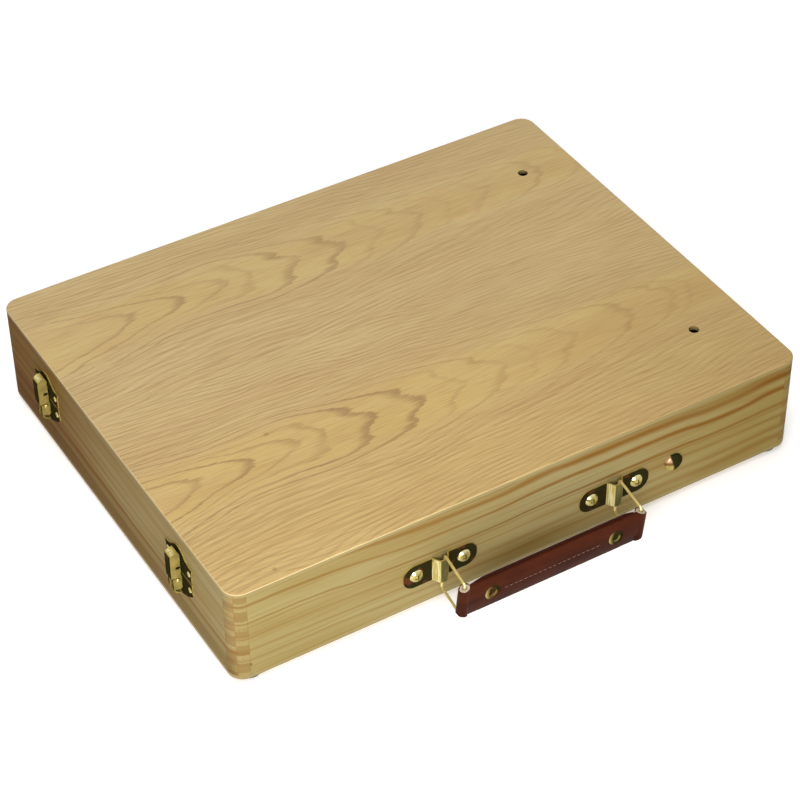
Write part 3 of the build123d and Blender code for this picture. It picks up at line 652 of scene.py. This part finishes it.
def arch_figure(shader, colour, seed):
    """The arches, the same in both leaves, with the fine lines and the dark spots."""
    upper = shader.math("GREATER_THAN", shader.y, leaf_seam)
    leaf_x = shader.scaled(upper, -leaf_shift[0], shader.x)
    leaf_y = shader.scaled(upper, -leaf_shift[1], shader.y)
    field, away = arch_field(shader, (leaf_x, leaf_y, shader.z), seed)
    patch = shader.smooth(shader.pattern(veneer_patch, seed), *patch_ramp)
    heart = shader.times(shader.smooth(away, *heart_ramp), patch)
    colour = shader.tint(heart, colour, heart_tint)
    colour = shader.mix(fine_lines(shader, away, seed), colour, veneer_line)
    rings = shader.times(arch_rings(shader, field, away, leaf_x), patch, ring_share)
    colour = shader.mix(rings, colour, veneer_ring)
    for x, y, radius in spots:
        spot = shader.spot((shader.x, shader.y), (x, y), (radius, radius))
        colour = shader.mix(shader.times(spot, spot_share), colour, veneer_line)
    return colour


def veneer(name, seed, arches=True):
    """Sliced veneer with fine pores along x, on a panel whose edge shows its ply under a pale top
    band that is partly a painted highlight.
    """
    shader = Shader(name)
    fibre, cloud, pores = [
        shader.pattern(row, seed) for row in (veneer_fibre, veneer_cloud, veneer_pores)
    ]
    colour = shader.mix(shader.smooth(cloud, *veneer_cloud_ramp), veneer_light, veneer_warm)
    colour = shader.mix(shader.smooth(fibre, *fibre_ramp), colour, veneer_line)
    if arches:
        colour = arch_figure(shader, colour, seed)
    pores = shader.times(shader.smooth(pores, *veneer_pore_ramp), veneer_pore_share)
    colour = shader.mix(pores, colour, veneer_line)
    front = shader.smooth(shader.y, *veneer_front_ramp)
    colour = shader.tint(front, colour, veneer_front)
    corner = shader.times(shader.smooth(shader.x, *veneer_far_ramp), front)
    colour = shader.tint(corner, colour, veneer_far)
    # The top band of the edge has a painted highlight that fades into painted shade to the right;
    # the ply below carries the pine's painted shade.
    rim = shader.tint(shader.smooth(shader.x, *edge_far_ramp), pale_edge_and_highlight, edge_far_shade)
    ply = shader.smooth(shader.minus(panel_high.z, shader.z), *ply_ramp)
    edge = shader.mix(ply, rim, painted_face_shade(shader, panel_ply)[0])
    on_edge = shader.math("LESS_THAN", shader.absolute(shader.normal[2]), edge_limit)
    colour = shader.mix(on_edge, colour, edge)
    shader.bump(fibre, *veneer_bump)
    roughness = shader.smooth(fibre, *veneer_rough_ramp)
    return shader.finish(colour, roughness, specular=veneer_specular)


# ---- the inner boards: dividers and palette ----

divider_tones = (tone(214, 190, 140), tone(178, 140, 84))
palette_tones = (tone(176, 136, 92), tone(134, 96, 58))
inner_band = (0, (160.0, 7.0, 7.0), 3.0)
inner_streak = (1, (50.0, 0.8, 0.8), 3.0)
inner_band_ramp = (0.35, 0.7, 0.0)
inner_streak_ramp = (0.4, 0.8, 0.0, 0.3)
inner_rough_ramp = (0.2, 0.9, 0.45, 0.6)
inner_specular = 0.2
inner_bump = (0.1, 0.5)

# Material, its two tones, direction of the grain, seed, strength of its bands, and its node.
inner_boards = (
    ("divider_wood", divider_tones, "x", 2.0, 0.5, "trough_divider"),
    ("cross_divider_wood", divider_tones, "y", 3.0, 0.5, "cross_dividers"),
    ("palette_wood", palette_tones, "x", 4.0, 0.7, "palette"),
)


def inner_wood(name, tones, along, seed, band_share):
    """Inner board: straight grain along x or y with soft growth bands."""
    shader = Shader(name)
    light, dark = tones
    flat = (shader.x, shader.y) if along == "x" else (shader.y, shader.x)
    band, streak = [
        shader.pattern(row, seed, (*flat, shader.z)) for row in (inner_band, inner_streak)
    ]
    colour = shader.mix(shader.smooth(band, *inner_band_ramp, band_share), light, dark)
    colour = shader.mix(shader.smooth(streak, *inner_streak_ramp), colour, dark)
    shader.bump(streak, *inner_bump)
    roughness = shader.smooth(streak, *inner_rough_ramp)
    return shader.finish(colour, roughness, specular=inner_specular)


# ---- brass ----

brass_bright = tone(230, 214, 146)
brass_deep = tone(186, 165, 92)
brass_side = tone(158, 142, 78)
brass_bend_highlight = tone(222, 215, 164)
brass_reflection_dark = tone(42, 38, 18)
brass_worn_sheen = tone(112, 106, 64)
brass_pink_highlight = tone(206, 168, 132)
brass_brown_reflection = tone(116, 84, 48)
brass_red = tone(84, 48, 28)

brass_cloud = (3, (5.0, 5.0, 5.0), 2.0)
brass_rust = (5, (7.0, 7.0, 7.0), 2.0)
brass_streak = (6, (1.1, 1.1, 14.0), 2.0)
bright_ramp = (0.2, 0.8, 0.15, 0.65)
brass_rough_ramp = (0.2, 0.8, 0.12, 0.22)
side_ramp = (0.3, 0.7)
rust_ramp = (0.57, 0.66, 0.0)
streak_ramp = (0.4, 0.6, 0.0)
brass_bump = (0.01, 0.4)
painted_dark_roughness = 0.1

# How far a face looks outward where the metal bends and gets a painted highlight, and how far up
# where the bolt gets a painted brown reflection and a painted pink highlight.
bend_facing = 0.5
bend_facing_reach = 0.42
brown_reflection_ramp = (-0.05, 0.12)
pink_highlight_ramp = (0.2, 0.4)

# Bends are all metal and sides less so. The crown of a plate has its painted dark reflection
# lightened in streaks, partly wear and partly painted sheen.
side_metal = 0.4
crown_least = 0.5
crown_streak = 0.4


def brass(name, outward=None, painted_dark_from=0.8, painted_dark_full=0.97, rust=1.0, streaks=1.0,
          raised=None, reflection_tints=False, metal=1.0):
    """Plated brass. With outward, the flat faces that look that way are painted dark, a painted
    dark reflection.

    The two limits that follow outward say how squarely a face has to look outward to be painted
    dark.
    raised is the y of a plate's face and of the crown that stands out, where the painted dark
    reflection is lightened in streaks, partly wear and partly painted sheen.
    metal is for bright brass only, which has no outward.
    """
    shader = Shader(name)
    cloud = shader.pattern(brass_cloud)
    roughness = shader.smooth(cloud, *brass_rough_ramp)
    shader.bump(cloud, *brass_bump)
    if outward is None:
        colour = shader.mix(shader.smooth(cloud, *bright_ramp), brass_bright, brass_deep)
        return shader.finish(colour, roughness, metal)
    facing = shader.plus(*map(shader.times, shader.normal, outward))
    painted_dark = shader.smooth(facing, painted_dark_from, painted_dark_full)
    bend = shader.near(facing, bend_facing, bend_facing_reach)
    rusty = shader.smooth(shader.pattern(brass_rust), *rust_ramp, rust)
    dark = shader.mix(rusty, brass_reflection_dark, brass_red)
    streak = shader.smooth(shader.pattern(brass_streak), *streak_ramp, streaks)
    if raised:
        worn = shader.scaled(streak, crown_streak, crown_least)
        crown = shader.times(shader.smooth(shader.y, *raised), worn)
        dark = shader.mix(crown, dark, brass_worn_sheen)
    sides = shader.mix(shader.smooth(cloud, *side_ramp), brass_side, brass_deep)
    sides = shader.mix(bend, sides, shader.mix(streak, brass_bend_highlight, brass_deep))
    if reflection_tints:
        for ramp, tinge in ((brown_reflection_ramp, brass_brown_reflection), (pink_highlight_ramp, brass_pink_highlight)):
            sides = shader.mix(shader.smooth(shader.normal[2], *ramp), sides, tinge)
    colour = shader.mix(painted_dark, sides, dark)
    shine = shader.scaled(bend, 1.0 - side_metal, side_metal)
    metallic = shader.times(shine, shader.minus(1.0, painted_dark))
    roughness = shader.scaled(painted_dark, painted_dark_roughness, roughness)
    return shader.finish(colour, roughness, metallic, specular=0.0)


# ---- steel, thread, rubber and the strap ----

mottle_ramp = (0.3, 0.7)

steel_grain = (5, (30.0, 4.0, 0.8), 3.0)
steel_tones = (tone(190, 187, 178), tone(166, 162, 152))
steel_rough_ramp = (0.2, 0.8, 0.24, 0.4)
steel_bump = (0.02, 0.4)

thread_fibre = (8, (0.4, 0.2, 0.2), 2.0)
thread_tones = (tone(118, 74, 66), tone(88, 50, 44))
thread_roughness = 0.7
thread_bump = (0.04, 0.6)

rubber_grain = (9, (1.0, 1.0, 1.0), 3.0)
rubber_tones = (tone(24, 24, 24), tone(38, 37, 36))
rubber_rough_ramp = (0.3, 0.8, 0.6, 0.8)
rubber_bump = (0.05, 0.5)

# The strap's cover is a little brighter above its middle height: painted light on its upper slope,
# with painted shade below.
leather_grain = (2, (0.9, 0.9, 0.9), 4.0)
leather_cloud = (4, (18.0, 6.0, 6.0), 2.0)
leather_shaded_low = (tone(60, 26, 13), tone(50, 21, 10))
leather_lit_high = (tone(71, 31, 14), tone(62, 26, 11))
leather_dark = tone(40, 16, 8)
leather_height_ramp = (27.0, 33.0)
leather_grain_ramp = (0.45, 0.8, 0.0, 0.3)
leather_rough_ramp = (0.3, 0.8, 0.34, 0.5)
leather_specular = 0.03
leather_bump = (0.05, 0.5)

# The strap's core is pale behind lining_front and in the eyes, and dark elsewhere.
liner_fibre = (6, (1.2, 0.5, 0.5), 3.0)
liner_wear = (7, (22.0, 9.0, 9.0), 2.0)
liner_tones = (tone(184, 168, 148), tone(142, 122, 102))
core_dark = tone(46, 19, 10)
liner_ramp = (0.3, 0.8)
liner_wear_ramp = (0.3, 0.7, 0.6, 0.9)
liner_roughness = 0.8
liner_specular = 0.1
liner_bump = (0.06, 0.6)
lining_front = -186.1
eyes_middle = -3.3
eyes_apart = 58.0


def mottled(name, row, tones, roughness, bump, metallic=0.0):
    """One pattern in two tones. A roughness that is given as a ramp follows the pattern too."""
    shader = Shader(name)
    grain = shader.pattern(row)
    shader.bump(grain, *bump)
    if isinstance(roughness, tuple):
        roughness = shader.smooth(grain, *roughness)
    colour = shader.mix(shader.smooth(grain, *mottle_ramp), *tones)
    return shader.finish(colour, roughness, metallic)


def leather(name):
    shader = Shader(name)
    grain = shader.pattern(leather_grain)
    cloud = shader.smooth(shader.pattern(leather_cloud), *mottle_ramp)
    low, high = [shader.mix(cloud, *tones) for tones in (leather_shaded_low, leather_lit_high)]
    # Painted light: the upper part of the cover is lighter and the lower part darker, as if lit
    # from above.
    colour = shader.mix(shader.smooth(shader.z, *leather_height_ramp), low, high)
    colour = shader.mix(shader.smooth(grain, *leather_grain_ramp), colour, leather_dark)
    shader.bump(grain, *leather_bump)
    roughness = shader.smooth(grain, *leather_rough_ramp)
    return shader.finish(colour, roughness, specular=leather_specular)


def liner(name):
    shader = Shader(name)
    fibre = shader.pattern(liner_fibre)
    pale = shader.mix(shader.smooth(fibre, *liner_ramp), *liner_tones)
    behind = shader.math("GREATER_THAN", shader.y, lining_front)
    from_middle = shader.absolute(shader.minus(shader.x, eyes_middle))
    in_eye = shader.math("GREATER_THAN", from_middle, eyes_apart)
    worn = shader.smooth(shader.pattern(liner_wear), *liner_wear_ramp)
    shown = shader.highest(shader.times(behind, worn), in_eye)
    colour = shader.mix(shown, core_dark, pale)
    shader.bump(fibre, *liner_bump)
    return shader.finish(colour, liner_roughness, specular=liner_specular)


# ---- every node gets its material ----

# Directions in which brass faces are painted dark, as a painted dark reflection.
toward_front = (0.0, -1.0, 0.0)
toward_left = (-1.0, 0.0, 0.0)
bolt_outward = (0.97, 0.0, 0.2)
eyelet_outward = (0.3, -0.95, 0.0)

# How far the face of a bracket's plate and its crown stand out from the front board.
plate_rise = 1.8
crown_rise = 2.6


def dress(material, *names):
    for name in names:
        mesh = nodes_of[name].data
        mesh.materials.clear()
        mesh.materials.append(material)


def dress_wood():
    dress(veneer("lid_veneer", seed=1.0), "lid_panel")
    dress(veneer("bottom_veneer", seed=2.6, arches=False), "bottom_panel")
    for part, start in joint_starts.items():
        for side, along, bends, lines, seed in boards:
            material = pine(part + side + "_pine", along, bends, lines, seed, start)
            dress(material, part + side + "_rail")
    for name, tones, along, seed, band_share, node in inner_boards:
        dress(inner_wood(name, tones, along, seed, band_share), node)


def dress_brass():
    # Faces that look along a given outward direction are painted dark: a painted dark reflection,
    # and on the screws painted shade in the slots.
    raised = [front_rail_low.y - rise for rise in (plate_rise, crown_rise)]
    plates = brass("bracket_brass", toward_front, raised=raised)
    dress(plates, "left_bracket", "right_bracket")
    # Screws: only faces that look straight out are painted dark, painted shade at the bottom of
    # the slot and a painted dark reflection on the dome's top.
    screws = brass(
        "screw_brass", toward_front, painted_dark_from=0.99, painted_dark_full=0.999, rust=0.0, streaks=0.4
    )
    dress(screws, "bracket_screws")
    # Bolt: all faces except those looking to the left are painted dark, a painted reflection, with
    # a painted brown reflection and a pink highlight above.
    bolt = brass(
        "bolt_brass", bolt_outward, painted_dark_from=-0.3, painted_dark_full=-0.16, rust=0.0, reflection_tints=True
    )
    dress(bolt, "stay_bolt")
    dress(brass("wire_brass", metal=0.5), "left_bail", "right_bail")
    eyelets = brass("eyelet_brass", eyelet_outward, painted_dark_from=0.78, painted_dark_full=0.9)
    dress(eyelets, "grip_eyelets")
    latches = brass("latch_brass", toward_left, rust=0.35)
    hinges = brass("hinge_brass")
    for end in ("front_", "back_"):
        for part in ("base_plate", "catch", "lever", "link", "link_pin", "rivets"):
            dress(latches, end + "latch_" + part)
        for part in ("base_leaf", "lid_leaf", "pin"):
            dress(hinges, end + "hinge_" + part)
    nails = brass("nail_brass", toward_left, painted_dark_from=0.9, painted_dark_full=0.99)
    dress(nails, "latch_base_nails", "latch_catch_nails")
    dress(hinges, "base_hinge_screws", "lid_hinge_screws")


def dress_others():
    rubber = mottled("foot_rubber", rubber_grain, rubber_tones, rubber_rough_ramp, rubber_bump)
    dress(rubber, "rubber_feet")
    dress(leather("strap_leather"), "grip_cover")
    dress(liner("strap_liner"), "grip_core")
    steel = mottled(
        "stay_steel", steel_grain, steel_tones, steel_rough_ramp, steel_bump, metallic=1.0
    )
    for part in ("lower_bar", "upper_bar", "elbow_rivet", "lid_spacer", "lid_screw", "washers"):
        dress(steel, "stay_" + part)
    dress(steel, "wing_nut")


# ---- stitches on the strap, in millimetres ----

stitch_length = 2.5
stitch_gap = 0.9
stitch_margin = 3.0
thread_radius = 0.28
thread_roundness = 2
eye_axis_y = -186.454
strap_front = 3.3
strap_back = 0.6

# Points of a stitch: share of its length, and how far it stands out of the strap.
stitch_arc = ((0.0, -0.25), (0.5, 0.18), (1.0, -0.25))


def add_stitches():
    """A row of thread on each face of the strap, between the eyelets."""
    eyelet_size = eyelet_high.z - eyelet_low.z
    start = eyelet_low.x + eyelet_size + stitch_margin
    end = eyelet_high.x - eyelet_size - stitch_margin
    middle_z = (eyelet_low.z + eyelet_high.z) / 2
    step = stitch_length + stitch_gap
    data = bpy.data.curves.new("grip_stitches", "CURVE")
    data.dimensions = "3D"
    data.bevel_depth = thread_radius * MM
    data.bevel_resolution = thread_roundness
    for face_y, out in ((eye_axis_y - strap_front, -1), (eye_axis_y + strap_back, 1)):
        for index in range(int((end - start) / step)):
            left = start + index * step
            spline = data.splines.new("BEZIER")
            spline.bezier_points.add(len(stitch_arc) - 1)
            for point, (share, lift) in zip(spline.bezier_points, stitch_arc):
                place = (left + share * stitch_length, face_y + out * lift, middle_z)
                point.co = Vector(place) * MM
                point.handle_left_type = "AUTO"
                point.handle_right_type = "AUTO"
    material = mottled("stitch_thread", thread_fibre, thread_tones, thread_roughness, thread_bump)
    data.materials.append(material)
    stitches = bpy.data.objects.new("grip_stitches", data)
    bpy.context.collection.objects.link(stitches)
    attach(stitches, "grip")


# ---- floor: reach in metres, pattern and ramp in millimetres ----

floor_reach = 6.0
floor_corners = ((-1, -1), (1, -1), (1, 1), (-1, 1))
floor_mottle = (0, (333.3, 333.3, 333.3), 2.0)
floor_tones = ((0.93, 0.93, 0.93, 1.0), (0.96, 0.96, 0.96, 1.0))
floor_roughness = 0.9
floor_glow = 0.22
floor_far_ramp = (500.0, 1400.0)


def add_floor():
    """Pale paper that keeps the shadow near the box and turns white further away."""
    mesh = bpy.data.meshes.new("floor")
    places = [(x * floor_reach, y * floor_reach, 0.0) for x, y in floor_corners]
    mesh.from_pydata(places, [], [(0, 1, 2, 3)])
    floor = bpy.data.objects.new("floor", mesh)
    bpy.context.collection.objects.link(floor)
    shader = Shader("floor_paper")
    colour = shader.mix(shader.pattern(floor_mottle), *floor_tones)
    shader.surface.inputs["Emission Color"].default_value = white
    shader.surface.inputs["Emission Strength"].default_value = floor_glow
    mesh.materials.append(shader.finish(colour, floor_roughness))
    squares = [shader.times(value, value) for value in (shader.x, shader.y)]
    away = shader.math("SQRT", shader.plus(*squares))
    tree = shader.tree
    far = shader.times(shader.smooth(away, *floor_far_ramp), seen_directly(tree))
    far_white = tree.nodes.new("ShaderNodeEmission").outputs[0]
    output = tree.nodes["Material Output"]
    blend_surfaces(tree, far, shader.surface.outputs[0], far_white, output)


def set_view():
    bpy.context.scene.view_settings.view_transform = "Standard"


add_camera()
add_world()
for lamp_row in lamps:
    add_lamp(*lamp_row)
dress_wood()
dress_brass()
dress_others()
add_stitches()
add_floor()
set_view()

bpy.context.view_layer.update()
